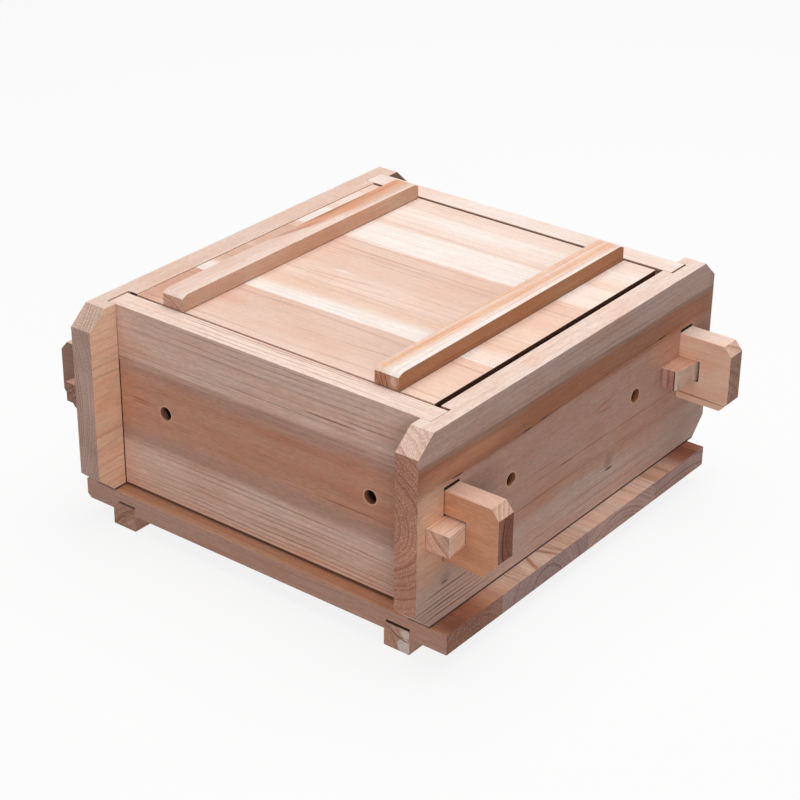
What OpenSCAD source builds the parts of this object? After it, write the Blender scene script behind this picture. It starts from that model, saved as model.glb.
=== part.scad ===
// Wooden tofu mold: a keyed frame of four boards that stands loose on a planked base,
// with a battened press lid inside. X runs along the front board, Y from front to back.
// The origin is under the middle of the frame, on the surface that the runners stand on.

/* [Frame] */
// Width across the outer faces of the side boards
frame_w = 300; // [250:1:380]
// Length of a side board
side_l = 355; // [300:1:480]
// Height of a side board
side_h = 143; // [115:1:200]
// Thickness of a side board
side_t = 18; // [14:0.5:24]
// Thickness of the front and back boards
cross_t = 18; // [14:0.5:24]
// From the side boards' front ends to the front board
front_setback = 26; // [20:0.5:40]
// From the side boards' back ends to the back board
back_setback = 25; // [20:0.5:40]
// Gap under the front and back boards
cross_lift = 2; // [0.5:0.5:6]

/* [Clipped corners of the side boards] */
// Length cut off at the front corners
clip_run_front = 15.5; // [4:0.5:18]
// Length cut off at the back corners
clip_run_back = 14; // [4:0.5:18]
// Height cut off at the top corners
clip_rise_top = 13; // [4:0.5:25]
// Height cut off at the bottom corners
clip_rise_bottom = 14.5; // [4:0.5:25]

/* [Housings] */
// Depth of the grooves that hold the ends of the front and back boards
housing_depth = 8; // [4:0.5:11]
// Play between a board and the outer wall of its housing
housing_clear = 0.2; // [0.1:0.1:0.5]
// Play behind the front board in its housings
front_housing_play = 2.6; // [0.2:0.1:4]
// Play behind the back board in its housings
back_housing_play = 0.4; // [0.2:0.1:4]
// Gap at the end of a board that stops short in its housing
loose_end_gap = 1.6; // [0.2:0.1:3]
// Gap at the end of a board that reaches its housing
tight_end_gap = 0.3; // [0.1:0.1:3]

/* [Tenons] */
// Length of a tenon beyond the side board
tenon_out = 42; // [34:0.5:60]
// Height of a tenon
tenon_h = 51.5; // [36:0.5:64]
// How far the front board's tenons sit below its middle
front_tenon_drop = 2; // [0:0.5:6]
// How far the back board's tenons sit below its middle
back_tenon_drop = 0; // [0:0.5:6]
// Step from the outer face of the board to the tenon
tenon_shoulder = 2; // [0.5:0.5:5]
// Length clipped off a tenon's end corners
tenon_clip_run = 6; // [2:0.5:10]
// Height clipped off a tenon's end corners
tenon_clip_rise = 7; // [2:0.5:14]
// Length clipped off the lower end corners of the front board's tenons
low_clip_run = 10.5; // [2:0.5:14]
// Height clipped off the lower end corners of the front board's tenons
low_clip_rise = 12.5; // [2:0.5:14]
// Play between a tenon and the sides and sill of its mortise
mortise_clear = 0.3; // [0.1:0.1:1]
// Gap before a front tenon in its mortise
front_mortise_gap = 0.7; // [0.1:0.1:1.5]
// Gap over a tenon in its mortise
mortise_headroom = 2.4; // [0.2:0.1:4]

/* [Keys] */
// Length of a key
key_l = 57; // [48:0.5:80]
// Height of a key
key_h = 15.5; // [10:0.5:24]
// Width of a key at its thick end
key_thick = 18.5; // [15:0.5:24]
// Width of a key at its thin end
key_thin = 12.5; // [9:0.5:14.5]
// How far the thick end of a front key stands out from its tenon
front_key_proud = 19.5; // [8:0.5:24]
// How far the thick end of a back key stands out from its tenon
back_key_proud = 17; // [8:0.5:24]
// Length of the bevel at the thin end
key_nose_run = 2; // [1:0.5:10]
// Depth of the bevel at the thin end
key_nose_cut = 1; // [0.5:0.5:6]
// Play between a key and what it bears on
key_clear = 0.15; // [0.1:0.05:0.5]
// Gap over a front key in its slot
slot_headroom = 1.3; // [0.2:0.1:3]
// Gap under a back key, which is driven in high
slot_footroom = 0.9; // [0.2:0.1:3]
// Gap beside a key where it enters its slot
slot_side_gap = 0.4; // [0.1:0.1:2]
// How far a slot reaches inside the side board's outer face
slot_undercut = 2; // [0.5:0.5:6]

/* [Drain holes] */
// Diameter of a drain hole
drain_d = 10; // [6:0.5:14]
// Distance between the holes in the front and back boards
cross_drain_span = 181; // [80:1:190]
// How far those holes sit to the right of the middle
cross_drain_shift = 1.6; // [-6:0.2:6]
// Distance between the holes in a side board
side_drain_span = 152; // [80:1:180]

/* [Press lid] */
// Thickness of the lid's planks
lid_t = 16; // [10:0.5:24]
// Depth of the lid's top below the rim
lid_drop = 0.4; // [0:0.1:20]
// Gap at the lid's front and back edges
lid_gap = 2.8; // [0.5:0.1:5]
// Gap at the lid's left edge
lid_left_gap = 0.4; // [0.3:0.1:5]
// Gap at the lid's right edge
lid_right_gap = 5; // [0.3:0.1:8]
// Width of the front plank at its middle
lid_front_plank_w = 61.5; // [40:0.5:80]
// How much wider the front plank is at its right end than at its left
lid_joint_skew = 4; // [-8:0.5:8]
// Width of the left batten
left_batten_w = 18.4; // [12:0.2:30]
// Width of the right batten
right_batten_w = 19.6; // [12:0.2:30]
// Height of a batten
batten_h = 12.2; // [10:0.2:20]
// From the lid's left end to the left batten
batten_left_inset = 26.5; // [10:0.5:60]
// From the lid's right end to the right batten
batten_right_inset = 27.5; // [10:0.5:60]
// Gap between the battens' front ends and the front board
batten_front_gap = 1.3; // [0.5:0.1:5]
// Length over which a batten's top rounds down to its ends
batten_ease_run = 6.5; // [2:0.5:12]
// How far a batten's top comes down at its ends
batten_ease_drop = 2.5; // [0.5:0.5:5]

/* [Base] */
// Thickness of the base's planks
base_t = 15; // [13:0.5:24]
// How far the base stands out on the left of the frame
base_left_ledge = 10; // [0:0.5:30]
// How far the base stands out on the right of the frame
base_right_ledge = 14; // [0:0.5:30]
// Size of the clipped lower edge at the base's left end
base_left_ease = 3; // [0.5:0.5:6]
// From the side boards' front ends back to the base
base_front_in = 14.5; // [0:0.5:20]
// From the side boards' back ends in to the base
base_back_in = 20.5; // [0:0.5:24]
// Width of the front plank
base_front_plank_w = 62; // [40:0.5:80]
// Width of the third plank
base_third_plank_w = 87; // [50:0.5:100]
// Width of the back plank
base_back_plank_w = 68; // [40:0.5:80]

/* [Runners] */
// Width of a runner
runner_w = 21; // [14:0.5:40]
// Height that the runners lift the base
runner_stand = 12.5; // [6:0.5:30]
// Depth that a runner is let into the base
runner_let_in = 6; // [3:0.5:7]
// Gap over a runner in its groove
groove_headroom = 1.6; // [0.2:0.1:2]
// Play between a runner and the walls of its groove
groove_clear = 0.15; // [0.1:0.05:0.5]
// From the base's left edge to the left runner
runner_left_inset = 26; // [10:0.5:60]
// From the base's right edge to the right runner
runner_right_inset = 30; // [10:0.5:60]
// How far the outer wall of the left runner leans in over its let-in part
runner_left_lean = 5; // [0.5:0.5:6.5]
// How far the outer wall of the right runner leans in over its let-in part
runner_right_lean = 1.5; // [0.5:0.5:6.5]
// How far the runners stand out at the base's front and back edges
runner_proud = 0.2; // [0:0.1:10]

/* [Pins] */
// Diameter of a wooden pin
pin_d = 4; // [2.5:0.5:5]
// Play round a pin
pin_clear = 0.05; // [0.02:0.01:0.1]
// Depth of a pin's end below the face it is driven from
pin_sunk = 0.5; // [0.2:0.1:2]
// Depth that a pin reaches into a batten
pin_batten_grip = 8; // [4:0.5:9]
// Depth that a pin reaches into a base plank
pin_base_grip = 5; // [2:0.5:5]

/* [Hidden] */

// Cuts run this far past the faces that they open
cut_over = 1;
drain_fn = 64;
pin_fn = 32;
ease_steps = 6;
// Two pins in each plank, at these shares of its width
pin_shares = [0.25, 0.75];

SIDE_WOOD = "#d8b79d";
CROSS_WOOD = "#cfae97";
KEY_WOOD = "#dcb592";
LID_WOOD = "#f0d8c4";
BATTEN_WOOD = "#e4c4a6";
BASE_WOOD = "#bf9475";
PIN_WOOD = "#c9a063";

// Heights
base_z = runner_stand;
base_top = base_z + base_t;
rim_z = base_top + side_h;
cross_z = base_top + cross_lift;
cross_mid_z = (cross_z + rim_z) / 2;
drain_z = base_top + side_h / 2;
lid_top = rim_z - lid_drop;
lid_z = lid_top - lid_t;
groove_top = base_z + runner_let_in + groove_headroom;

// Frame in plan
side_x = frame_w / 2;
inner_x = side_x - side_t;
front_in_y = -side_l / 2 + front_setback + cross_t;
back_in_y = side_l / 2 - back_setback - cross_t;
housing_x = inner_x + housing_depth;
tenon_t = cross_t - tenon_shoulder;
key_slope = (key_thick - key_thin) / key_l;

// Lid in plan
lid_x0 = -inner_x + lid_left_gap;
lid_x1 = inner_x - lid_right_gap;
lid_y0 = front_in_y + lid_gap;
lid_y1 = back_in_y - lid_gap;
lid_joint_y = lid_y0 + lid_front_plank_w;
lid_joint_left_y = lid_joint_y - lid_joint_skew / 2;
lid_joint_right_y = lid_joint_y + lid_joint_skew / 2;
batten_left_x = lid_x0 + batten_left_inset;
batten_right_x = lid_x1 - batten_right_inset - right_batten_w;
batten_y0 = front_in_y + batten_front_gap;

// Base in plan
base_x0 = -side_x - base_left_ledge;
base_x1 = side_x + base_right_ledge;
base_y0 = -side_l / 2 + base_front_in;
base_y1 = side_l / 2 - base_back_in;
base_edges = [
    base_y0, base_y0 + base_front_plank_w, base_y1 - base_back_plank_w - base_third_plank_w,
    base_y1 - base_back_plank_w, base_y1
];
runner_left_x = base_x0 + runner_left_inset;
runner_right_x = base_x1 - runner_right_inset - runner_w;

// Pins stand on the middle line of each batten and runner
function pin_ys(edges) = [
    for (i = [0 : len(edges) - 2], s = pin_shares) edges[i] + s * (edges[i + 1] - edges[i])
];
lid_pin_spots = [
    for (x = [batten_left_x + left_batten_w / 2, batten_right_x + right_batten_w / 2])
        for (y = pin_ys([lid_y0, lid_joint_y, lid_y1])) [x, y]
];
base_pin_spots = [
    for (x = [runner_left_x, runner_right_x], y = pin_ys(base_edges)) [x + runner_w / 2, y]
];

// Outer face of the tenons: out is -1 on the front board and 1 on the back one
function tenon_face(out) = out < 0 ? front_in_y - tenon_t : back_in_y + tenon_t;

// How far a key's thick end stands out from that face
function key_proud(out) = out < 0 ? front_key_proud : back_key_proud;

// Heights of a tenon's lower edge, and of a key's
function tenon_z(out) =
    cross_mid_z - (out < 0 ? front_tenon_drop : back_tenon_drop) - tenon_h / 2;
function key_z(out) = tenon_z(out) + (tenon_h - key_h) / 2;

// Room under and over a key in its slot
function under_key(out) = out < 0 ? key_clear : slot_footroom;
function over_key(out) = out < 0 ? slot_headroom : key_clear;

// Extrudes an outline drawn in X and Z along Y, from y to y + t
module along_y(y, t) translate([0, y + t, 0]) rotate([90, 0, 0]) linear_extrude(t) children();

// Extrudes an outline drawn in Y and Z along X, from x to x + t
module along_x(x, t) translate([x, 0, 0]) rotate([90, 0, 90]) linear_extrude(t) children();

// Frame boards

module side_outline() {
    front = -side_l / 2;
    back = side_l / 2;
    polygon([
        [front + clip_run_front, base_top], [back - clip_run_back, base_top],
        [back, base_top + clip_rise_bottom], [back, rim_z - clip_rise_top],
        [back - clip_run_back, rim_z], [front + clip_run_front, rim_z],
        [front, rim_z - clip_rise_top], [front, base_top + clip_rise_bottom]
    ]);
}

// Groove down the inner face of a side board for the end of a board from y0 to y1
module housing(y0, y1)
    translate([inner_x - cut_over, y0, base_top - cut_over])
        cube([housing_depth + cut_over, y1 - y0, side_h + 2 * cut_over]);

module mortise(out) {
    y0 = out < 0 ? tenon_face(out) - front_mortise_gap : back_in_y - mortise_clear;
    y1 = out < 0 ? front_in_y + mortise_clear : tenon_face(out) + mortise_clear;
    translate([inner_x - cut_over, y0, tenon_z(out) - mortise_clear])
        cube([side_t + 2 * cut_over, y1 - y0, tenon_h + mortise_clear + mortise_headroom]);
}

module side_board() difference() {
    along_x(inner_x, side_t) side_outline();
    housing(front_in_y - cross_t - housing_clear, front_in_y + front_housing_play);
    housing(back_in_y - back_housing_play, back_in_y + cross_t + housing_clear);
    for (out = [-1, 1]) mortise(out);
    for (y = [-1, 1] * side_drain_span / 2)
        translate([inner_x - cut_over, y, drain_z]) rotate([0, 90, 0])
            cylinder(d = drain_d, h = side_t + 2 * cut_over, $fn = drain_fn);
}

module tenon_outline(low, low_run, low_rise) {
    end = side_x + tenon_out;
    top = low + tenon_h;
    polygon([
        [inner_x, low], [end - low_run, low], [end, low + low_rise],
        [end, top - tenon_clip_rise], [end - tenon_clip_run, top], [inner_x, top]
    ]);
}

// Moves a key's plan, drawn driven towards +Y from the origin, to its tenon
module at_tenon(side, out)
    mirror([side < 0 ? 1 : 0, 0, 0])
        translate([side_x + key_clear, tenon_face(out) + out * key_proud(out), 0])
            mirror([0, out > 0 ? 1 : 0, 0]) children();

// Straight opening for a key, as wide as the key where it enters
module key_slot(side, out) {
    y0 = key_proud(out) - cut_over;
    wall = key_thick - key_slope * key_proud(out) + slot_side_gap;
    at_tenon(side, out) translate([-slot_undercut, y0, key_z(out) - under_key(out)])
        cube([
            slot_undercut + wall, tenon_t + 2 * cut_over, under_key(out) + key_h + over_key(out)
        ]);
}

// Board between the sides: a panel housed at both ends, with a keyed tenon through each side
module cross_board(out, left_gap, right_gap, low_run, low_rise) {
    panel_y = out < 0 ? front_in_y - cross_t : back_in_y;
    tenon_y = out < 0 ? front_in_y - tenon_t : back_in_y;
    difference() {
        union() {
            along_y(panel_y, cross_t)
                translate([-housing_x + left_gap, cross_z])
                    square([2 * housing_x - left_gap - right_gap, rim_z - cross_z]);
            for (m = [0, 1]) mirror([m, 0, 0])
                along_y(tenon_y, tenon_t) tenon_outline(tenon_z(out), low_run, low_rise);
        }
        for (side = [-1, 1]) key_slot(side, out);
        for (x = [-1, 1] * cross_drain_span / 2)
            translate([x + cross_drain_shift, panel_y - cut_over, drain_z]) rotate([-90, 0, 0])
                cylinder(d = drain_d, h = cross_t + 2 * cut_over, $fn = drain_fn);
    }
}

module front_board()
    color(CROSS_WOOD) cross_board(-1, loose_end_gap, tight_end_gap, low_clip_run, low_clip_rise);

module back_board()
    color(CROSS_WOOD)
        cross_board(1, tight_end_gap, loose_end_gap, tenon_clip_run, tenon_clip_rise);

module right_side_board() color(SIDE_WOOD) side_board();

module left_side_board() color(SIDE_WOOD) mirror([1, 0, 0]) side_board();

// Keys

module key(side, out)
    color(KEY_WOOD) at_tenon(side, out) translate([0, 0, key_z(out)]) linear_extrude(key_h)
        polygon([
            [0, 0], [key_thick, 0],
            [key_thin + key_slope * key_nose_run, key_l - key_nose_run],
            [key_thin - key_nose_cut, key_l], [0, key_l]
        ]);

module front_left_key() key(-1, -1);

module front_right_key() key(1, -1);

module back_left_key() key(-1, 1);

module back_right_key() key(1, 1);

// Pins

module pins(spots, z0, z1, d)
    for (spot = spots)
        translate([spot[0], spot[1], z0]) cylinder(d = d, h = z1 - z0, $fn = pin_fn);

module lid_pin_holes()
    pins(lid_pin_spots, lid_z - cut_over, lid_top + pin_batten_grip, pin_d + 2 * pin_clear);

module base_pin_holes()
    pins(base_pin_spots, -cut_over, groove_top + pin_base_grip, pin_d + 2 * pin_clear);

module lid_pins()
    color(PIN_WOOD) pins(lid_pin_spots, lid_z + pin_sunk, lid_top + pin_batten_grip, pin_d);

module base_pins()
    color(PIN_WOOD) pins(base_pin_spots, pin_sunk, groove_top + pin_base_grip, pin_d);

// Press lid

// Plank between two edges, given by their Y at the lid's left end and at its right end
module lid_plank(left_y, right_y) color(LID_WOOD) difference() {
    translate([0, 0, lid_z]) linear_extrude(lid_t) polygon([
        [lid_x0, left_y[0]], [lid_x1, right_y[0]], [lid_x1, right_y[1]], [lid_x0, left_y[1]]
    ]);
    lid_pin_holes();
}

module lid_front_plank() lid_plank([lid_y0, lid_joint_left_y], [lid_y0, lid_joint_right_y]);

module lid_back_plank() lid_plank([lid_joint_left_y, lid_y1], [lid_joint_right_y, lid_y1]);

// Points of the arc by which a batten's top comes down, as distances from its end and its top
ease_r = (batten_ease_run ^ 2 + batten_ease_drop ^ 2) / (2 * batten_ease_drop);
ease_arc = [
    for (i = [0 : ease_steps])
        let (a = asin(batten_ease_run / ease_r) * i / ease_steps)
            [batten_ease_run - ease_r * sin(a), ease_r * (1 - cos(a))]
];

module batten(x, w) color(BATTEN_WOOD) difference() {
    top = lid_top + batten_h;
    along_x(x, w) polygon([
        [batten_y0, lid_top],
        for (i = [ease_steps : -1 : 0]) [batten_y0 + ease_arc[i][0], top - ease_arc[i][1]],
        for (p = ease_arc) [lid_y1 - p[0], top - p[1]],
        [lid_y1, lid_top]
    ]);
    lid_pin_holes();
}

module lid_left_batten() batten(batten_left_x, left_batten_w);

module lid_right_batten() batten(batten_right_x, right_batten_w);

// Base

// Section of a runner, whose left wall leans in where it is let into the base
module runner_outline(x, lean) translate([x, 0]) polygon([
    [0, 0], [runner_w, 0], [runner_w, base_z + runner_let_in],
    [lean, base_z + runner_let_in], [0, base_z]
]);

module runner_groove(x, lean) {
    wall_lean = lean * (groove_top - base_z) / runner_let_in;
    along_y(base_y0 - cut_over, base_y1 - base_y0 + 2 * cut_over) translate([x, 0]) polygon([
        [-groove_clear, 0], [runner_w + groove_clear, 0], [runner_w + groove_clear, groove_top],
        [wall_lean - groove_clear, groove_top], [-groove_clear, base_z]
    ]);
}

module base_plank(i) color(BASE_WOOD) difference() {
    along_y(base_edges[i], base_edges[i + 1] - base_edges[i]) polygon([
        [base_x0 + base_left_ease, base_z], [base_x1, base_z], [base_x1, base_top],
        [base_x0, base_top], [base_x0, base_z + base_left_ease]
    ]);
    runner_groove(runner_left_x, runner_left_lean);
    runner_groove(runner_right_x, runner_right_lean);
    base_pin_holes();
}

module base_front_plank() base_plank(0);

module base_second_plank() base_plank(1);

module base_third_plank() base_plank(2);

module base_back_plank() base_plank(3);

module runner(x, lean) color(BATTEN_WOOD) difference() {
    along_y(base_y0 - runner_proud, base_y1 - base_y0 + 2 * runner_proud) runner_outline(x, lean);
    base_pin_holes();
}

module base_left_runner() runner(runner_left_x, runner_left_lean);

module base_right_runner() runner(runner_right_x, runner_right_lean);

front_board();
back_board();
left_side_board();
right_side_board();
front_left_key();
front_right_key();
back_left_key();
back_right_key();
lid_front_plank();
lid_back_plank();
lid_left_batten();
lid_right_batten();
lid_pins();
base_front_plank();
base_second_plank();
base_third_plank();
base_back_plank();
base_left_runner();
base_right_runner();
base_pins();
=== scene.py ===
"""Wooden tofu mold in bare planed fir: a keyed frame on a planked base, with a battened press lid."""
import math
import random

import bpy
from mathutils import Matrix, Vector


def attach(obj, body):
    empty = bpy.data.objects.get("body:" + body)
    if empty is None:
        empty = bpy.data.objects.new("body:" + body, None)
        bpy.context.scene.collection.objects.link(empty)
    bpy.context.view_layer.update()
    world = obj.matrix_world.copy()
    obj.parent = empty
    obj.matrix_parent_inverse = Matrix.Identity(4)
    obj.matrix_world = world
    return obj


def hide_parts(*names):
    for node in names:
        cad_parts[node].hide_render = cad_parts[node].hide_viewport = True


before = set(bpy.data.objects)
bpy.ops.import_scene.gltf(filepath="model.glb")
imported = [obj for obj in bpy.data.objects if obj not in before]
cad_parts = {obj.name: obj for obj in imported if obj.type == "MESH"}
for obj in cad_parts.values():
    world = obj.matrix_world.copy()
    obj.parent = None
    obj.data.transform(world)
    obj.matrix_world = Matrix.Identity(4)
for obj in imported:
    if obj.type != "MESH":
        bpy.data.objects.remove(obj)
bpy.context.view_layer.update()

MM = 0.001
AXES = "XYZ"
WHITE = (1, 1, 1, 1)


# Camera, solved from the corners of the boards in the photograph

FRAME_PX = 800
FOCAL_PX = 2108.9
SENSOR_MM = 36
CLIP_NEAR, CLIP_FAR = 0.05, 50
AZIMUTH, ELEVATION, ROLL = math.radians(37.562), math.radians(27.806), math.radians(0.587)
DISTANCE = 1.523
AIM = Vector((0, 0, 0.0875))
AIM_RIGHT, AIM_UP = -0.00094, -0.00918


def set_camera():
    """Stands the camera off from the aim, rolls it, and shifts it a little in its own plane."""
    level = Vector((math.cos(AZIMUTH), math.sin(AZIMUTH), 0))
    outward = Vector((math.sin(AZIMUTH), -math.cos(AZIMUTH), 0))
    back = outward * math.cos(ELEVATION) + Vector((0, 0, math.sin(ELEVATION)))
    upright = back.cross(level)
    right = math.cos(ROLL) * level + math.sin(ROLL) * upright
    up = math.cos(ROLL) * upright - math.sin(ROLL) * level
    eye = AIM + back * DISTANCE + right * AIM_RIGHT + up * AIM_UP
    data = bpy.data.cameras.new("camera")
    data.sensor_width = SENSOR_MM
    data.lens = FOCAL_PX / FRAME_PX * SENSOR_MM
    data.clip_start, data.clip_end = CLIP_NEAR, CLIP_FAR
    camera = bpy.data.objects.new("camera", data)
    camera.matrix_world = Matrix((
        (right.x, up.x, back.x, eye.x),
        (right.y, up.y, back.y, eye.y),
        (right.z, up.z, back.z, eye.z),
        (0, 0, 0, 1),
    ))
    bpy.context.scene.collection.objects.link(camera)
    bpy.context.scene.camera = camera


# Shader maths

class Wire:
    """An output socket in a node tree. Arithmetic on it adds Math nodes."""

    def __init__(self, tree, socket=None):
        self.tree, self.socket = tree, socket

    def node(self, kind, settings=None, inputs=None, out=0):
        """Adds a node: its settings first, then the values or links of its sockets."""
        made = self.tree.nodes.new(kind)
        for key, value in (settings or {}).items():
            if key == "stops":
                ramp = made.color_ramp.elements
                while len(ramp) < len(value):
                    ramp.new(0.5)
                for element, (place, colour) in zip(ramp, value):
                    element.position, element.color = place, colour
            else:
                setattr(made, key, value)
        for key, value in (inputs or {}).items():
            if isinstance(value, Wire):
                self.tree.links.new(value.socket, made.inputs[key])
            else:
                made.inputs[key].default_value = value
        return Wire(self.tree, made.outputs[out] if made.outputs else None)

    def other(self, out):
        """Another output of the same node."""
        return Wire(self.tree, self.socket.node.outputs[out])

    def math(self, operation, *values):
        """A Math node on this value and the others."""
        return self.node("ShaderNodeMath", {"operation": operation}, dict(enumerate((self, *values))))

    def __add__(self, other):
        return self.math("ADD", other)

    __radd__ = __add__

    def __sub__(self, other):
        return self.math("SUBTRACT", other)

    def __rsub__(self, other):
        return self.node("ShaderNodeMath", {"operation": "SUBTRACT"}, {0: other, 1: self})

    def __mul__(self, other):
        return self.math("MULTIPLY", other)

    __rmul__ = __mul__

    def __truediv__(self, other):
        return self.math("DIVIDE", other)

    def __abs__(self):
        return self.math("ABSOLUTE")

    def rise(self, low, high):
        """0 up to low, 1 from high on, and a smooth step between."""
        return self.node(
            "ShaderNodeMapRange", {"interpolation_type": "SMOOTHSTEP"},
            {"Value": self, "From Min": low, "From Max": high},
        )

    def over(self, under, top, blend="MIX"):
        """Colour top laid over colour under, by this mask."""
        settings = {"data_type": "RGBA", "blend_type": blend}
        return self.node("ShaderNodeMix", settings, {0: self, 6: under, 7: top}, out=2)

    def scaled(self, level):
        """This vector or colour times a plain number."""
        return self.node("ShaderNodeVectorMath", {"operation": "SCALE"}, {0: self, "Scale": level})


def blank(owner):
    """Pen for the emptied node tree of a material or a world."""
    owner.use_nodes = True
    owner.node_tree.nodes.clear()
    return Wire(owner.node_tree)


def linear(hex_colour):
    """Linear RGBA of a colour written as on screen."""
    parts = [int(hex_colour[i:i + 2], 16) / 255 for i in (1, 3, 5)]
    return (*(p / 12.92 if p <= 0.04045 else ((p + 0.055) / 1.055) ** 2.4 for p in parts), 1.0)


# Light, floor and background

FILL = 0.22
FLOOR_SIZE = 12
FLOOR_BOUNCE = "#9a9896"
FLOOR_PAPER = "#fbfafa"
FLOOR_GLOW = 0.85
SOFTBOXES = {
    "overhead": dict(place=(0.0, 0.35, 1.7), size=(1.7, 1.7), power=24),
    "front": dict(place=(-0.5, -2.0, 0.9), size=(1.4, 0.9), power=6),
    "right": dict(place=(1.75, -1.6, 0.8), size=(0.9, 0.9), power=13),
}


def hang_softbox(name, place, size, power):
    """A rectangular lamp, turned to the aim of the camera."""
    data = bpy.data.lights.new(name + "_softbox", "AREA")
    data.shape, data.size, data.size_y, data.energy = "RECTANGLE", *size, power
    lamp = bpy.data.objects.new(data.name, data)
    lamp.location = place
    lamp.rotation_euler = (AIM - Vector(place)).to_track_quat("-Z", "Y").to_euler()
    bpy.context.scene.collection.objects.link(lamp)


def seen_directly(pen):
    """1 on rays from the camera, by way of mirrors and glass too."""
    rays = pen.node("ShaderNodeLightPath", out="Is Camera Ray")
    path = rays
    for way in ("Is Glossy Ray", "Is Transmission Ray"):
        path = path.math("MAXIMUM", rays.other(way))
    return path


def set_studio():
    """White background, three softboxes, and a floor of white paper that glows to the eye."""
    scene = bpy.context.scene
    scene.view_settings.view_transform = "Standard"

    world = bpy.data.worlds.new("studio")
    pen = blank(world)
    strength = seen_directly(pen) * (1 - FILL) + FILL
    sky = pen.node("ShaderNodeBackground", None, {"Color": WHITE, "Strength": strength})
    pen.node("ShaderNodeOutputWorld", None, {"Surface": sky})
    scene.world = world

    for name, box in SOFTBOXES.items():
        hang_softbox(name, **box)

    bpy.ops.object.select_all(action="DESELECT")
    bpy.ops.mesh.primitive_plane_add(size=FLOOR_SIZE)
    floor = bpy.context.active_object
    floor.name = "floor"
    paper = bpy.data.materials.new("white_paper")
    pen = blank(paper)
    seen = seen_directly(pen)
    bounce = pen.node("ShaderNodeBsdfDiffuse", None, {"Color": linear(FLOOR_BOUNCE)})
    pale = pen.node("ShaderNodeBsdfDiffuse", None, {"Color": linear(FLOOR_PAPER)})
    glow = pen.node("ShaderNodeEmission", None, {"Color": WHITE, "Strength": 1.0})
    shown = pen.node("ShaderNodeMixShader", None, {0: FLOOR_GLOW, 1: pale, 2: glow})
    surface = pen.node("ShaderNodeMixShader", None, {0: seen, 1: bounce, 2: shown})
    pen.node("ShaderNodeOutputMaterial", None, {"Surface": surface})
    floor.data.materials.append(paper)


# Boards: copies of the solids with their arrises eased a little unevenly

MERGE = 0.002 * MM
FLAT = math.radians(0.5)
SHARP = math.radians(25)
CUT_STEP = 9 * MM
CUT_CLEARANCE = 0.7 * MM
SPOT_CUTS = (-1, -0.3, 0.3, 1)
ARRIS = 0.45 * MM
ARRIS_MEAN, ARRIS_SWING = 0.7, 0.3
ARRIS_SEGMENTS = 2
LONG_WAVE, SHORT_WAVE = 11, 4.3
PHASE_RANGE = 6.28
PHASE_STRIDE = 1009


def set_active(piece):
    bpy.ops.object.select_all(action="DESELECT")
    piece.select_set(True)
    bpy.context.view_layer.objects.active = piece


def sharp_edges(mesh):
    """Edges that fold by more than a slight angle."""
    faces = {}
    for polygon in mesh.polygons:
        for key in polygon.edge_keys:
            faces.setdefault(key, []).append(polygon.normal)
    for edge in mesh.edges:
        normals = faces.get(edge.key, ())
        if len(normals) == 2 and normals[0].angle(normals[1], 0) > SHARP:
            yield edge


def board_copy(node):
    """A piece with the shape of a board's solid and no material yet."""
    piece = bpy.data.objects.new(node + "_wood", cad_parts[node].data.copy())
    piece.data.materials.clear()
    bpy.context.scene.collection.objects.link(piece)
    return piece


def cut_across(piece, axis, spots):
    """Cleans the mesh, then cuts it across the grain at even steps and again round the spots."""
    set_active(piece)
    bpy.ops.mesh.customdata_custom_splitnormals_clear()
    bpy.ops.object.mode_set(mode="EDIT")
    bpy.ops.mesh.select_all(action="SELECT")
    bpy.ops.mesh.remove_doubles(threshold=MERGE)
    bpy.ops.mesh.dissolve_limited(angle_limit=FLAT)
    bpy.ops.object.mode_set(mode="OBJECT")
    taken = [v.co[axis] for v in piece.data.vertices]
    low, high = min(taken), max(taken)
    cuts = [low + CUT_STEP * (i + 0.5) for i in range(int((high - low) / CUT_STEP))]
    cuts += [place[axis] + k * reach for place, reach, _ in spots for k in SPOT_CUTS]
    normal = Vector((0, 0, 0))
    normal[axis] = 1
    bpy.ops.object.mode_set(mode="EDIT")
    for cut in cuts:
        if min(abs(cut - t) for t in taken) > CUT_CLEARANCE:
            taken.append(cut)
            bpy.ops.mesh.select_all(action="SELECT")
            bpy.ops.mesh.bisect(plane_co=normal * cut, plane_no=normal)
    bpy.ops.object.mode_set(mode="OBJECT")


def arris_width(middle, axis, spots):
    """Bevel of the edge with this middle. It wanders along the grain, in its own way on each arris."""
    others = [round(middle[i] / MM) for i in range(3) if i != axis]
    phase = random.Random(others[0] * PHASE_STRIDE + others[1]).uniform(0, PHASE_RANGE)
    along = middle[axis] / MM
    wander = math.sin(along / LONG_WAVE + phase) * 0.5 + math.sin(along / SHORT_WAVE + phase * 3) * 0.5
    width = ARRIS * (ARRIS_MEAN + ARRIS_SWING * wander)
    for place, reach, wide in spots:
        if (middle - place).length < reach:
            width = wide
    return width


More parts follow.
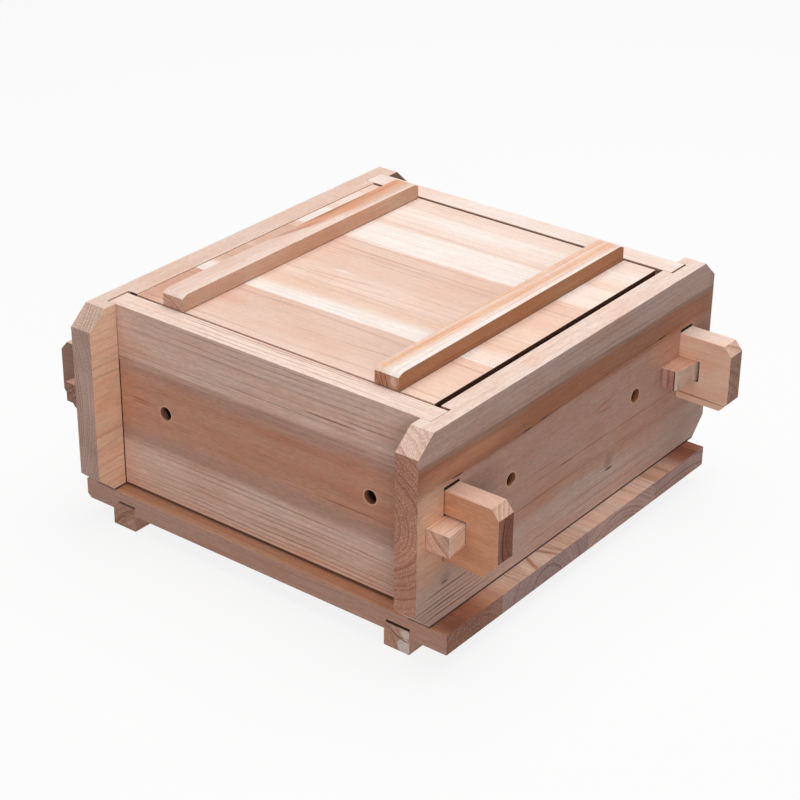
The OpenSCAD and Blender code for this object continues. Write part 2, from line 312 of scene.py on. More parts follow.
def ease(piece, grain, spots=()):
    """Cuts the board across every few millimetres, and bevels its arrises with a wandering width.

    Each of the spots is a point, a reach and a width: the edges that near it are bevelled by that much.
    """
    axis = AXES.index(grain)
    spots = [(Vector(place) * MM, reach * MM, width * MM) for place, reach, width in spots]
    cut_across(piece, axis, spots)
    mesh = piece.data
    widest = max([width for _, _, width in spots] + [ARRIS])
    weights = mesh.attributes.new("bevel_weight_edge", "FLOAT", "EDGE")
    for edge in sharp_edges(mesh):
        middle = (mesh.vertices[edge.vertices[0]].co + mesh.vertices[edge.vertices[1]].co) / 2
        weights.data[edge.index].value = arris_width(middle, axis, spots) / widest
    bevel = piece.modifiers.new("arris", "BEVEL")
    bevel.limit_method, bevel.width, bevel.segments = "WEIGHT", widest, ARRIS_SEGMENTS
    bevel.harden_normals = True
    bpy.ops.object.shade_smooth()
    bpy.ops.object.modifier_apply(modifier=bevel.name)


# Fir

TONES = {
    "pale": "#f9eee6",
    "blush": "#f3dccf",
    "cream": "#efd4c4",
    "tan": "#edccb8",
    "rose": "#e9c8b7",
    "biscuit": "#e5c4b3",
    "honey": "#dcb59f",
    "ash": "#e2cabd",
    "oat": "#d6b8a5",
    "straw": "#e7c4b4",
    "sand": "#e6bda9",
    "dune": "#cfb0a3",
    "slate": "#c7a99e",
    "fawn": "#c69c8c",
    "mauve": "#c39a8a",
    "dusk": "#a78474",
    "heart": "#cf9a82",
    "brown": "#a76c4f",
    "clay": "#c28f72",
    "peach": "#f9d0b2",
    "shell": "#ffdac1",
    "apricot": "#ebc1a3",
    "wheat": "#eecab2",
    "amber": "#dda381",
    "toast": "#cba288",
    "caramel": "#a8744f",
    "sienna": "#8e5946",
    "rust": "#a8613c",
    "umber": "#7a4b34",
    "bark": "#80605a",
    "soot": "#21100a",
}
LATEWOOD = linear("#b98362")
FLECK = linear("#8a5a44")
RED_RING = linear("#b07a66")
WARMTH = linear("#f8ddcb")
HALF_BOARD = 9
HOLE_RADIUS = 5.0
HOLE_WALL = (HOLE_RADIUS + 0.1, HOLE_RADIUS + 0.4)
HOLE_RIM_HIGHLIGHT = (HOLE_RADIUS + 0.4, HOLE_RADIUS + 1.5)
BOX_EDGE = 0.15
FINE_WIDTH, FINE_SOFT = 3, 0.6
ROUGHNESS, GLOSS = 0.62, 0.3
BUMP_STRENGTH, BUMP_DEPTH = 0.35, 0.25 * MM


def tint(tone):
    return linear(TONES[tone])


def figure(
    along, across, half_length, half_width, tone, strength, slant=0.0, bow=0.0, soft=0.8, on="across",
):
    """A streak or patch in the wood: its middle and reach in millimetres, its tone and its run."""
    return dict(
        along=along, across=across, half_length=half_length, half_width=half_width, tone=tone,
        strength=strength, slant=slant, bow=bow, soft=soft, on=on,
    )


def streaks(places, tone, strength, along=0, half_length=190, half_width=0.9, slant=0.0, on="across"):
    """Fine lines along the grain, at several places across it."""
    return [figure(along, p, half_length, half_width, tone, strength, slant, on=on) for p in places]


class Grain:
    """A point in a board, in millimetres: its place by the grain, its noises and its growth rings."""

    def __init__(self, pen, grain, across, thick, pith, ring, wander, seed):
        self.pen, self.grain, self.seed = pen, grain, seed
        coords = pen.node("ShaderNodeTexCoord", out="Object")
        self.place = coords.scaled(1 / MM)
        split = pen.node("ShaderNodeSeparateXYZ", None, {0: self.place})
        self.where = {axis: split.other(axis) for axis in AXES}
        self.along, self.across, self.depth = (self.where[axis] for axis in (grain, across, thick))
        normal = pen.node("ShaderNodeSeparateXYZ", None, {0: coords.other("Normal")})
        self.facing = {axis: abs(normal.other(axis)) for axis in AXES}

        slow = self.channels(long=190, cross=48, detail=1, shift=0.0)
        quick = self.channels(long=60, cross=9, detail=2, shift=3.1)
        self.fibre = self.noise(long=24, cross=1.0, detail=2, shift=7.7)
        self.vein = self.noise(long=110, cross=2.4, detail=2, shift=12.3)
        self.fleck = self.noise(long=5, cross=0.9, detail=1, shift=16.9)
        self.cloud = self.noise(long=75, cross=9, detail=2, shift=19.9)
        self.pores = self.noise(long=1.1, cross=0.9, detail=1, shift=25.7)
        self.broken = self.noise(long=70, cross=2.2, detail=1, shift=31.3).rise(0.34, 0.62)
        self.blot = self.noise(long=45, cross=26, detail=1, shift=41.7)
        self.ragged = quick.other(2) - 0.5

        sway = [(slow.other(i) - 0.5) * (2 * wander) for i in (0, 1)]
        waver = [(quick.other(i) - 0.5) * (k * wander) for i, k in ((0, 0.6), (1, 0.5))]
        self.width_place = self.across + sway[0] + waver[0]
        self.depth_place = self.depth + sway[1] + waver[1]
        self.from_pith, from_depth = self.width_place - pith[0], self.depth_place - pith[1]
        radius = (self.from_pith * self.from_pith + from_depth * from_depth).math("SQRT")
        line = {"noise_dimensions": "1D"}
        years = radius / (2.7 * ring) + seed
        uneven = pen.node("ShaderNodeTexNoise", line, {"W": years, "Scale": 1.0})
        count = radius / ring + (uneven - 0.5) * 1.7
        phase, whole = count.math("FRACT"), count.math("FLOOR") + seed
        vigour = pen.node("ShaderNodeTexWhiteNoise", line, {"W": whole}) * 0.85 + 0.15
        self.late = phase.rise(0.7, 0.93) * (1 - phase.rise(0.95, 1.0)) * vigour
        self.grown = phase.rise(0.15, 0.9) * (1 - phase.rise(0.92, 1.0)) * vigour

    def noise(self, long, cross, detail, shift):
        """Noise drawn out along the grain: long and cross are the sizes of its grains."""
        stretch = [1 / long if axis == self.grain else 1 / cross for axis in AXES]
        offset = [(self.seed + shift) * k for k in (1.0, 1.73, 0.61)]
        spot = self.pen.node(
            "ShaderNodeVectorMath", {"operation": "MULTIPLY_ADD"}, {0: self.place, 1: stretch, 2: offset}
        )
        return self.pen.node("ShaderNodeTexNoise", None, {"Vector": spot, "Scale": 1.0, "Detail": detail})

    def channels(self, **sizes):
        """Three noises of the same kind, as the outputs of one node."""
        return self.pen.node("ShaderNodeSeparateColor", None, {0: self.noise(**sizes).other("Color")})

    def within(self, box):
        """1 inside a box given as the low and high edge along some of the axes."""
        mask = 1.0
        for axis, (low, high) in box.items():
            above = self.where[axis].rise(low - BOX_EDGE, low + BOX_EDGE)
            mask = above * (1 - self.where[axis].rise(high - BOX_EDGE, high + BOX_EDGE)) * mask
        return mask

    def drawn(self, f):
        """Mask of a figure. It runs along the grain, or on end grain over the width of the board."""
        if f["on"] == "end":
            run, side = self.across - f["along"], self.depth - f["across"]
        else:
            run = self.along - f["along"]
            side = (self.width_place if f["on"] == "across" else self.depth_place) - f["across"]
        side = side - run * f["slant"]
        if f["bow"]:
            side = side - run * run * f["bow"]
        reach, width = run / f["half_length"], side / f["half_width"]
        out = (reach * reach + width * width).math("SQRT")
        mask = (1 - out.rise(1 - f["soft"], 1.0)) * f["strength"]
        if f["half_width"] < FINE_WIDTH and f["soft"] > FINE_SOFT:
            mask = mask * (self.broken * 0.7 + 0.3)
        return mask


def long_grain(wood, tones, slant, fray, faces, figures, lines, calm, cloudy, grit):
    """Colour along the grain: bands, faces, figures, growth rings, clouds, fibres, and arrises paled as
    partly wear and partly a painted highlight.
    """
    low, high = tones[0][0], tones[-1][0]
    band = (wood.width_place + (wood.vein - 0.5) * fray - wood.along * slant - low) / (high - low)
    stops = [((place - low) / (high - low), tint(name)) for place, name in tones]
    colour = wood.pen.node("ShaderNodeValToRGB", {"stops": stops}, {"Fac": band})
    for axis, name, strength, box in faces:
        mask = wood.facing[axis].rise(0.75, 0.92) * wood.within(box) * strength
        colour = mask.over(colour, tint(name))
    for f in figures:
        colour = wood.drawn(f).over(colour, tint(f["tone"]))
    shown = wood.late * lines
    if calm:
        shown = shown * (abs(wood.from_pith).rise(0.4 * calm, calm) * 0.8 + 0.2)
    colour = (shown * (wood.broken * 0.7 + 0.3)).over(colour, LATEWOOD, "MULTIPLY")
    colour = (shown * wood.fleck.rise(0.52, 0.66) * 0.8).over(colour, FLECK, "MULTIPLY")
    colour = (wood.cloud.rise(0.42, 0.68) * cloudy).over(colour, WARMTH, "MULTIPLY")
    colour = (wood.blot.rise(0.45, 0.7) * cloudy).over(colour, WARMTH, "MULTIPLY")
    texture = (wood.fibre - 0.5) * 0.24 + (wood.fleck - 0.5) * 0.32
    texture = texture + (wood.vein - 0.5) * 0.12 + (wood.pores - 0.5) * 0.16
    colour = colour.scaled(texture * grit + 1.03)
    # Surfaces that are not square to an axis, the eased arrises and slanted cuts, are paled: partly
    # rubbed wear, partly a painted highlight.
    flat = wood.facing["X"].math("MAXIMUM", wood.facing["Y"]).math("MAXIMUM", wood.facing["Z"])
    return ((1 - flat.rise(0.9, 0.99)) * 0.35).over(colour, tint("pale"))


def crosscut(wood, shade, specks, figures=()):
    """Colour across the grain: the rings, figures and pores."""
    colour = (wood.grown * 0.6).over(linear(shade), RED_RING, "MULTIPLY")
    for f in figures:
        colour = wood.drawn(f).over(colour, tint(f["tone"]))
    colour = colour.scaled(1.08 + (wood.pores - 0.5) * 0.9 + (wood.blot - 0.5) * 0.5)
    return (wood.pores.rise(0.6, 0.72) * specks).over(colour, tint("pale"))


def drilled(wood, colour, hole):
    """Colour with a drain hole in it: a warm ring round the lip as a painted highlight, and walls with
    painted shade that darkens inwards.
    """
    hole_along, hole_across, middle = hole
    run, side = wood.along - hole_along, wood.across - hole_across
    out = (run * run + side * side).math("SQRT") + wood.ragged * 1.2
    # Painted highlight: a warm pale ring on the face round the hole's rim.
    colour = ((1 - out.rise(*HOLE_RIM_HIGHLIGHT)) * 0.6).over(colour, tint("peach"))
    # Painted shade: the hole's walls go from brown to soot deeper into the board.
    inwards = (HALF_BOARD - abs(wood.depth - middle)).rise(1, 6)
    shaded_wall = inwards.over(tint("brown"), tint("soot"))
    return (1 - out.rise(*HOLE_WALL)).over(colour, shaded_wall)


def fir(
    name, grain, across, thick, tones, pith, end, seed, cut=None, ring=5.0, lines=0.5, calm=0, slant=0.0,
    wander=3.0, fray=12.0, cloudy=0.3, grit=1.0, specks=0.35, figures=(), faces=(), holes=(), painted_shade=(),
):
    """Bare planed fir. Growth rings run round the pith, and bands of tone follow the width of the board.

    Each of the faces is an axis, the tone of the surfaces that face along it, a strength and a box
    that limits it. The end grain has a colour of its own, and corners that are cut across the grain
    have their tone. A hole is its place along and across the grain and the middle of the board's
    thickness. Painted shade is a list of strengths, each with the boxes in which the wood is darkened
    as painted shade for gaps, contacts, slots and recesses. Rings are fainter within calm of the pith.
    Wander bends the rings and bands, and fray roughens the edges of the bands.
    """
    material = bpy.data.materials.new(name)
    pen = blank(material)
    wood = Grain(pen, grain, across, thick, pith, ring, wander, seed)
    end_figures = [f for f in figures if f["on"] == "end"]
    long_figures = [f for f in figures if f["on"] != "end"]

    colour = long_grain(wood, tones, slant, fray, faces, long_figures, lines, calm, cloudy, grit)
    tilt = wood.facing[grain]
    if cut:
        colour = tilt.rise(0.42, 0.55).over(colour, crosscut(wood, TONES[cut], specks))
    ends = tilt.rise(0.86, 0.95)
    colour = ends.over(colour, crosscut(wood, end, specks, end_figures))
    for hole in holes:
        colour = drilled(wood, colour, hole)
    # Painted shade: in each box the wood goes towards soot, where gaps, contacts, slots and recesses fall
    # into shade.
    for strength, boxes in painted_shade:
        for box in boxes:
            colour = (wood.within(box) * strength).over(colour, tint("soot"))

    rough = ROUGHNESS + (wood.fibre - 0.5) * 0.16 - wood.late * 0.06 + ends * 0.14
    height = wood.late * 0.35 + wood.fibre * 0.5 + ends * wood.pores * 0.9
    bump = pen.node(
        "ShaderNodeBump", None, {"Strength": BUMP_STRENGTH, "Distance": BUMP_DEPTH, "Height": height}
    )
    surface = pen.node(
        "ShaderNodeBsdfPrincipled", None,
        {"Base Color": colour, "Roughness": rough, "Normal": bump, "Specular IOR Level": GLOSS},
    )
    pen.node("ShaderNodeOutputMaterial", None, {"Surface": surface})
    return material


set_camera()
set_studio()

# Board by board: the run of the grain, then boxes for single faces and for painted shade in contacts,
# gaps and recesses, in millimetres

SIDE = dict(grain="Y", across="Z", thick="X")
CROSS = dict(grain="X", across="Z", thick="Y")
PLANK = dict(grain="X", across="Y", thick="Z")
STRIP = dict(grain="Y", across="X", thick="Z", wander=1.0)
KEY = dict(SIDE, ring=4.0, lines=0.4, wander=1.0, fray=4.0)
# The lid planks' dark end grain is partly the end grain's own colour and partly painted shade for the
# gaps at the lid's ends.
LID = dict(PLANK, end="#4f2d1c", specks=0.1, lines=0.3, cloudy=0.17, grit=0.85)
BATTEN = dict(STRIP, fray=3.0)
BASE = dict(PLANK, ring=3.6, lines=0.7, grit=1.3)
RUNNER = dict(STRIP, fray=4.0)
DRAIN_HEIGHT = 99
FRONT_HOLES, BACK_HOLES = ([(x, DRAIN_HEIGHT, y) for x in (-88.9, 92.1)] for y in (-142.5, 143.5))
LEFT_HOLES, RIGHT_HOLES = ([(y, DRAIN_HEIGHT, x) for y in (-76, 76)] for x in (-141, 141))
RIM, TABS = {"Z": (160, 180)}, {"Z": (60, 130)}
RIGHT_TAB, LEFT_TAB = {"X": (146, 200)}, {"X": (-200, -146)}
# Boxes for painted shade: the feet of the side boards, mortises, key slots, tenon cheeks, batten
# contacts, runner grooves, the runners' tops under the base, the notch and the lid's back gap.
FOOT = {"Z": (20, 29)}
HOUSINGS = ((132, 149.8), (-149.8, -132))
OUTSIDES = ((147, 170), (-170, -147))
LET_IN = ((-134.5, -112.5), (112.5, 134.5))
MORTISES = [
    {"X": (-149.3, 149.3), "Y": (-151, -132), "Z": (71, 127)},
    {"X": (-149.3, 149.3), "Y": (133, 152), "Z": (73, 129)},
]
FRONT_SLOTS = [{"X": x, "Y": (-149, -134), "Z": (89.5, 107.5)} for x in OUTSIDES]
BACK_SLOTS = [{"X": x, "Y": (135, 150), "Z": (90.5, 108.5)} for x in OUTSIDES]
FRONT_CHEEKS = [{"X": x, "Z": (123.4, 124.2)} for x in HOUSINGS]
FRONT_CHEEKS += [{"X": x, "Y": (-150, -149.2), "Z": (72, 124)} for x in HOUSINGS]
BACK_CHEEKS = [{"X": x, "Z": (125.4, 126.2)} for x in HOUSINGS]
CONTACTS = [{"X": (-87, -86.2), "Z": (170, 171)}, {"X": (99.2, 100.1), "Z": (170, 171)}]
GROOVES = [{"X": x, "Y": (-162.2, 156.2), "Z": (12.6, 20.4)} for x in LET_IN]
UNDER_BASE = {"Z": (18.2, 19)}
NOTCH = {"X": (-137.6, -131.8), "Y": (-133.6, -130.6), "Z": (165, 171)}
# Box for painted shade on the inner face of the left board's back tail, in the corner behind the back
# board.
LEFT_TAIL = {"X": (-132.6, -131.4), "Y": (153, 178)}
BACK_GAP = {"X": (-131, 131), "Y": (134, 135.2), "Z": (166.8, 169.9)}

# Each board's body, material slot and wood

WOODS = {
    "front_board": ("frame", "fir_cross_boards", dict(
        CROSS, pith=(98, -121), ring=3.4, lines=0.28, calm=42, grit=1.4, seed=1.0,
        end="#8e5643", cut="honey", specks=0.1, holes=FRONT_HOLES,
        # The honey and biscuit on the tab tops are partly the wood's tone and partly painted shade from
        # the box. The dusk on the left tab's front is painted shade.
        faces=[
            ("Z", "blush", 0.9, RIM), ("Z", "honey", 0.9, TABS), ("Z", "biscuit", 0.4, TABS),
            ("Y", "amber", 0.95, RIGHT_TAB), ("Y", "dusk", 0.95, LEFT_TAB),
        ],
        # Painted shade: the gap under the board, its ends in the housings, the tenon cheeks and the key
        # slots are darkened.
        painted_shade=[
            (0.9, [{"Z": (20, 30.1)}, {"X": (-133, -131.1), "Z": (30, 128)}]),
            (0.4, [{"X": (-133, -131.4), "Z": (128, 160)}]),
            (0.9, FRONT_CHEEKS),
            (0.65, FRONT_SLOTS),
        ],
        tones=[
            (27, "sand"), (64, "straw"), (71, "mauve"), (85, "heart"), (116, "heart"), (128, "mauve"),
            (135, "straw"), (171, "straw"),
        ],
        figures=[
            figure(-140, 104, 36, 40, "amber", 0.35),
            figure(-95, 58, 70, 12, "cream", 0.3),
            figure(20, 137, 150, 4, "cream", 0.3),
            figure(25, 94, 100, 6, "brown", 0.25),
            figure(10, 116, 110, 6, "brown", 0.25),
            figure(-89, 114, 10, 2.4, "dusk", 0.6, soft=1.0),
            figure(70, 77, 75, 6, "dusk", 0.25),
            figure(60, 143.5, 32, 0.8, "umber", 0.75, soft=0.6),
            figure(80, 151, 46, 0.9, "umber", 0.6),
            figure(90, 147, 40, 0.8, "umber", 0.5),
            figure(75, 84, 42, 0.9, "umber", 0.65),
            figure(55, 54, 80, 0.9, "umber", 0.6),
            figure(30, 43, 110, 0.9, "umber", 0.5),
            figure(-112, 102.5, 18, 1.6, "rust", 0.7),
            figure(-112, 100, 14, 1.0, "rust", 0.6),
            figure(100, 105.5, 16, 1.8, "rust", 0.55),
            *streaks([33, 36, 39.5], "umber", 0.6, half_width=0.8),
            *streaks([47.5, 51, 59, 63], "umber", 0.45, half_width=0.8),
            *streaks([140, 155.5, 160, 164, 168], "umber", 0.45, half_width=0.8),
            *streaks([34.5, 37.8, 45, 49.5, 56.5, 61], "blush", 0.3),
            *streaks([138, 145.5, 153, 158, 162, 166], "blush", 0.25),
            figure(98, -144.7, 32, 0.9, "soot", 0.75, bow=0.0083, soft=0.6, on="end"),
            figure(95, -148.6, 60, 3.6, "dusk", 0.45, bow=0.006, on="end"),
            figure(98, -138.5, 40, 4.6, "umber", 0.45, bow=0.006, on="end"),
            *streaks([-147.5, -143, -138, -135.5], "rust", 0.6, half_width=0.8, on="thick"),
        ],
    )),
    "back_board": ("frame", "fir_cross_boards", dict(
        CROSS, pith=(60, 112), ring=6.0, lines=0.12, seed=2.0,
        end="#b18976", cut="honey", holes=BACK_HOLES,
        # The far tab's pale shell front is partly the wood's own pale colour and partly painted light.
        faces=[("Z", "pale", 0.7, RIM), ("Z", "blush", 0.9, TABS), ("Y", "shell", 0.9, RIGHT_TAB)],
        painted_shade=[(0.9, BACK_CHEEKS), (0.65, BACK_SLOTS), (0.6, [BACK_GAP])],
        tones=[
            (27, "straw"), (60, "straw"), (72, "peach"), (126, "peach"), (136, "straw"), (171, "straw"),
        ],
        figures=[figure(172, 80, 40, 1.0, "rust", 0.9), figure(-172, 80, 40, 1.0, "rust", 0.7)],
    )),
    "right_side_board": ("frame", "fir_side_boards", dict(
        SIDE, pith=(105.5, 117), ring=3.4, lines=0.25, calm=40, grit=1.5, seed=3.0,
        end="#c58d76", cut="biscuit", holes=RIGHT_HOLES,
        faces=[("Z", "blush", 0.85, RIM)], painted_shade=[(0.9, [FOOT]), (0.75, MORTISES)],
        tones=[
            (27, "dune"), (57, "dune"), (64, "fawn"), (86, "fawn"), (92, "mauve"), (126, "mauve"),
            (131, "brown"), (144, "brown"), (148, "dusk"), (153, "slate"), (171, "slate"),
        ],
        figures=[
            figure(-166, 98, 36, 52, "apricot", 0.95),
            figure(-120, 139, 70, 9, "amber", 0.55),
            figure(112, 121, 34, 18, "amber", 0.45),
            # Painted shadow of the near tab on the board.
            figure(-112, 113, 36, 21, "dusk", 0.7),
            # Painted shadow of the far tab on the board.
            figure(164, 118, 22, 15, "umber", 0.5),
            figure(160, 45, 50, 17, "dusk", 0.35),
            # Painted shade along the board's back end.
            figure(178, 140, 12, 60, "dusk", 0.5),
            figure(100, 139, 110, 11, "dusk", 0.35),
            figure(0, 66.5, 190, 7, "clay", 0.4),
            figure(0, 70, 120, 1.4, "rust", 0.8),
            figure(50, 83.5, 140, 1.1, "rust", 0.7),
            figure(-10, 83.3, 9, 0.9, "umber", 0.9, soft=0.5),
            figure(-36, 91, 26, 1.0, "rust", 0.5),
            figure(0, 130.8, 185, 1.1, "umber", 0.9, slant=0.0143),
            figure(0, 148, 190, 1.6, "umber", 0.35),
            figure(-136, 129, 8, 0.9, "soot", 1.0, slant=0.0143, soft=0.5),
            figure(-59, 130.1, 7, 0.9, "soot", 1.0, slant=0.0143, soft=0.5),
            figure(-40, 130.4, 6, 0.9, "soot", 1.0, slant=0.0143, soft=0.5),
            figure(108, 132.5, 7, 0.8, "soot", 0.9, slant=0.0143, soft=0.5),
            figure(35, 110.2, 17, 1.0, "rust", 0.75, slant=0.114),
            figure(35, 105, 15, 1.0, "rust", 0.75, slant=-0.12),
            figure(-80, 117, 9, 1.0, "rust", 0.75),
            *streaks([35, 38, 41.5, 44.5, 48, 51.5], "umber", 0.85, -140, half_length=58),
            *streaks([36.5, 40, 43, 46.3, 50], "blush", 0.45, -135, half_length=60),
            *streaks([33, 39, 47], "umber", 0.5, 40, half_length=110, half_width=0.8),
            *streaks([36, 43, 51], "ash", 0.4, 40, half_length=120, half_width=1.0),
            *streaks([156, 161, 165.5], "umber", 0.3, half_width=0.8),
            figure(45, 60, 8, 9, "dusk", 0.7),
            figure(46, 53.5, 6, 1.1, "soot", 0.9, soft=0.5),
            figure(-147, 59, 9, 6, "dusk", 0.6),
            figure(-148, 56, 5, 0.9, "umber", 0.9, soft=0.5),
        ],
    )),
    "left_side_board": ("frame", "fir_side_boards", dict(
        SIDE, pith=(95, -300), ring=2.1, lines=0.3, seed=4.0, end="#ccab9e", cut="oat", grit=1.3,
        # The bark tone on the inner face of the back tail is painted shade.
        holes=LEFT_HOLES, faces=[("Z", "ash", 0.85, RIM), ("X", "bark", 0.9, LEFT_TAIL)],
        painted_shade=[(0.9, [FOOT]), (0.75, MORTISES), (0.95, [NOTCH])],
        tones=[(27, "peach"), (70, "peach"), (130, "peach"), (171, "peach")],
        figures=[
            *streaks([37.5, 41, 44.5, 49.5, 53, 57.5, 62.5], "umber", 0.85, half_width=1.0),
            *streaks([118, 134, 148, 154], "umber", 0.3),
        ],
    )),
    "front_left_key": ("front_left_key", "fir_keys", dict(
        KEY, pith=(80, -150), seed=5.0, end="#a27a69", tones=[(88, "fawn"), (108, "fawn")])),
    "front_right_key": ("front_right_key", "fir_keys", dict(
        KEY, pith=(138, 199), seed=6.0, end="#e3b49e", tones=[(88, "wheat"), (108, "wheat")],
        faces=[("X", "shell", 0.5, {})],
        figures=[figure(103, 167, 9, 7, "mauve", 0.5, soft=0.5, on="end")],
    )),
    "back_left_key": ("back_left_key", "fir_keys", dict(
        KEY, pith=(80, -150), seed=7.0, end="#dcaa95", tones=[(90, "peach"), (110, "apricot")])),
    "back_right_key": ("back_right_key", "fir_keys", dict(
        KEY, pith=(100, 240), ring=2.6, seed=8.0, end="#c49787", specks=0.12,
        faces=[("X", "ash", 0.7, {})],
        tones=[(90, "honey"), (106, "honey"), (110, "toast")],
        figures=[
            *streaks([156, 160.5, 164], "rust", 0.6, on="thick"),
            figure(100, 153.3, 20, 1.6, "dune", 0.6, soft=0.5, on="end"),
            figure(100, 156.2, 20, 0.8, "umber", 0.6, soft=0.5, on="end"),
            figure(100, 160.9, 20, 0.9, "umber", 0.9, soft=0.5, on="end"),
        ],
    )),
    "lid_front_plank": ("press_lid", "fir_lid_planks", dict(
        LID, pith=(-100, 120), seed=9.0, painted_shade=[(0.9, CONTACTS)],
        tones=[(-132, "cream"), (-112, "rose"), (-92, "biscuit"), (-66, "biscuit")],
        figures=[
            figure(-126, -100, 28, 120, "honey", 0.9),
            figure(-126, -100, 24, 120, "heart", 0.55),
            figure(-75, -94, 22, 9, "amber", 0.45),
            figure(116, -100, 26, 120, "shell", 0.4),
            figure(40, -97, 85, 1.0, "rust", 0.4, slant=0.05),
        ],
    )),
    "lid_back_plank": ("press_lid", "fir_lid_planks", dict(
        LID, pith=(0, 135), ring=5.6, seed=10.0, slant=0.03, fray=7.0, painted_shade=[(0.9, CONTACTS)],
        tones=[
            (-74, "pale"), (-56, "pale"), (-46, "tan"), (-38, "tan"), (-30, "cream"), (-16, "cream"),
            (-6, "rose"), (41, "rose"), (46, "pale"), (76, "pale"), (80, "cream"), (86, "blush"),
            (104, "pale"), (118, "blush"), (133, "cream"),
        ],
        figures=[
            figure(-150, -8.5, 60, 52, "honey", 0.95, soft=0.25),
            figure(-150, -35, 60, 8, "amber", 0.3),
            figure(-150, -16, 60, 5, "blush", 0.35),
            figure(-150, 100, 60, 34, "cream", 0.4),
            figure(-35, -20, 55, 1.1, "rust", 0.4, slant=0.124),
            figure(40, -13, 35, 1.1, "rust", 0.35, slant=0.02),
            figure(0, -33.5, 120, 1.0, "rust", 0.25),
            figure(-45, -11.5, 14, 1.8, "pale", 0.7),
            *streaks([14.5, 18.5, 21.5, 26.5], "umber", 0.25, half_width=0.8),
            figure(116, 0, 26, 170, "shell", 0.35),
        ],
    )),
    "lid_left_batten": ("press_lid", "fir_battens", dict(
        BATTEN, pith=(-110, 150), ring=4.5, seed=11.0, end="#cda592", faces=[("X", "toast", 0.95, {})],
        tones=[(-106, "rose"), (-96, "cream"), (-86, "blush")],
        figures=[
            figure(-70, -97, 120, 14, "ash", 0.35, soft=0.5),
            figure(105, -99.5, 105, 14, "honey", 0.95, soft=0.5),
            figure(76, -104, 92, 12, "amber", 0.95, soft=0.5),
            figure(55, -104, 60, 5.5, "clay", 0.8, soft=0.7),
            figure(24, -99.5, 18, 5.5, "amber", 0.9, soft=0.7),
            figure(0, -101.5, 38, 3, "rust", 0.55, slant=0.165),
            figure(50, -103.8, 40, 2.6, "rust", 0.85),
            figure(95, -100, 45, 1.1, "rust", 0.5, slant=-0.02),
        ],
    )),
    "lid_right_batten": ("press_lid", "fir_battens", dict(
        BATTEN, pith=(-130, 76), ring=6.0, seed=12.0, end="#bd896a", faces=[("X", "caramel", 0.97, {})],
        slant=0.03,
        tones=[
            (79, "tan"), (81.5, "apricot"), (83.5, "cream"), (85, "tan"), (86.5, "apricot"),
            (89.5, "apricot"), (91, "tan"), (94, "blush"), (97, "pale"), (104, "pale"),
        ],
        figures=[
            *streaks([82, 87.2, 89.2], "amber", 0.5, slant=0.03),
            figure(85, 176.3, 5, 2.2, "sienna", 0.9, slant=-3, soft=0.5, on="end"),
            figure(88.8, 176.3, 5, 2.4, "sienna", 0.9, slant=-2.8, soft=0.5, on="end"),
            figure(95, 176, 4.5, 7, "blush", 0.4, on="end"),
        ],
    )),
    "base_front_plank": ("base", "fir_base_planks", dict(
        BASE, pith=(-130, -10), lines=0.3, seed=13.0, end="#9e6f5c",
        # The dark brown band along the front of this plank is partly heartwood and partly painted shade
        # below the frame's front tenons.
        tones=[
            (-164, "toast"), (-156, "clay"), (-150, "clay"), (-142, "brown"), (-126, "brown"),
            (-112, "clay"), (-102, "fawn"),
        ],
        faces=[("Y", "fawn", 0.9, {})],
        figures=[
            # Painted shadow of the near tenon and key on the ledge at the right end.
            figure(164, -150, 24, 16, "sienna", 0.85),
            figure(-101, 20, 18, 14, "fawn", 0.25, on="end"),
            *streaks([-150, -138, -127, -118], "umber", 0.5, half_width=1.3),
            *streaks([-144, -132, -110], "oat", 0.6, half_width=1.6),
        ],
        painted_shade=[(0.8, GROOVES)],
    )),
    "base_second_plank": ("base", "fir_base_planks", dict(
        BASE, pith=(-48, 2), seed=14.0, end="#b69791",
        tones=[(-102, "toast"), (-96, "honey"), (-88, "oat"), (3, "oat")],
        figures=[
            *streaks([-97, -92, -86, -80, -26], "rust", 0.6, half_width=1.1),
            *streaks([-89, -68, -47, -17], "tan", 0.6, half_width=3.0),
            figure(157, -47, 16, 7, "tan", 0.6),
            figure(157, -64, 16, 5, "tan", 0.6, slant=-0.4),
            figure(157, -57, 16, 3, "rust", 0.75, slant=-0.55, bow=0.008),
            figure(157, -38, 16, 3, "rust", 0.7, slant=0.4, bow=-0.008),
            figure(157, -31, 16, 3, "rust", 0.45, slant=0.22),
        ],
    )),
    "base_third_plank": ("base", "fir_base_planks", dict(
        BASE, pith=(40, -40), seed=15.0, end="#c9a59a",
        tones=[(1, "biscuit"), (27, "biscuit"), (37, "oat"), (47, "biscuit"), (90, "biscuit")],
        figures=[
            *streaks([14, 31, 52, 70], "rust", 0.5, half_width=1.0),
            *streaks([22, 44, 80], "tan", 0.5, half_width=2.5),
        ],
    )),
    "base_back_plank": ("base", "fir_base_planks", dict(
        BASE, pith=(120, -150), seed=16.0, end="#c09e93",
        # The brown and sienna band towards the back of this plank is partly heartwood and partly painted
        # shade below the far tenon.
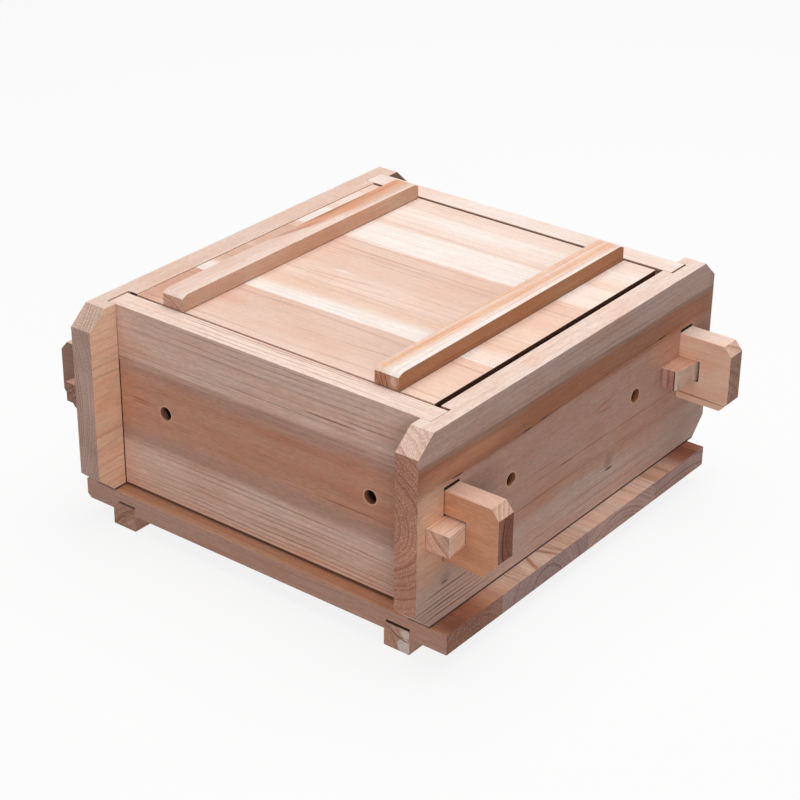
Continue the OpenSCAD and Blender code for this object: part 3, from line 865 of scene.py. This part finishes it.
        tones=[
            (88, "toast"), (95, "toast"), (100, "honey"), (114, "honey"), (122, "fawn"), (132, "brown"),
            (142, "sienna"), (150, "brown"), (158, "brown"),
        ],
    )),
    "base_left_runner": ("base", "fir_runners", dict(
        RUNNER, pith=(-100, -20), ring=4.5, seed=17.0, end="#bb917b", specks=0.1,
        tones=[(-135, "honey"), (-112, "honey")], painted_shade=[(0.5, [UNDER_BASE])],
        figures=[
            figure(-128, 6, 9, 0.8, "umber", 0.6, slant=0.9, bow=-0.04, soft=0.5, on="end"),
            figure(-120, 11, 8, 0.7, "umber", 0.5, slant=0.7, bow=-0.03, soft=0.5, on="end"),
            figure(-117, 5, 7, 5, "ash", 0.2, on="end"),
        ],
    )),
    "base_right_runner": ("base", "fir_runners", dict(
        RUNNER, pith=(90, -10), ring=4.5, seed=18.0, end="#cfa48e", specks=0.1,
        tones=[(112, "amber"), (124, "honey"), (135, "honey")], painted_shade=[(0.9, [UNDER_BASE])],
        figures=[
            figure(117.5, 7, 7, 9, "clay", 0.55, soft=0.5, on="end"),
            figure(130, 5, 6.5, 6.5, "pale", 0.72, soft=0.3, on="end"),
            figure(131, 14.5, 6, 4.5, "pale", 0.6, soft=0.6, on="end"),
            figure(124, 11.2, 13, 0.8, "umber", 0.9, slant=-0.42, bow=0.021, soft=0.5, on="end"),
        ],
    )),
}

# Places where an arris is worn rounder

WORN = {
    "right_side_board": [((150, -24, 170.5), 3, 1.6)],
}

for node, (body, slot, wood) in WOODS.items():
    piece = board_copy(node)
    ease(piece, wood["grain"], WORN.get(node, ()))
    piece.data.materials.append(fir(node, **wood))
    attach(piece, body)
    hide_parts(node)

for node, seed in (("lid_pins", 19.0), ("base_pins", 20.0)):
    pin_wood = fir(
        node, grain="Z", across="X", thick="Y", pith=(900, 900), end="#c9a58e", ring=1.4, seed=seed,
        tones=[(-200, "apricot"), (200, "apricot")],
    )
    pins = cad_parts[node]
    pins.data.materials.clear()
    pins.data.materials.append(pin_wood)
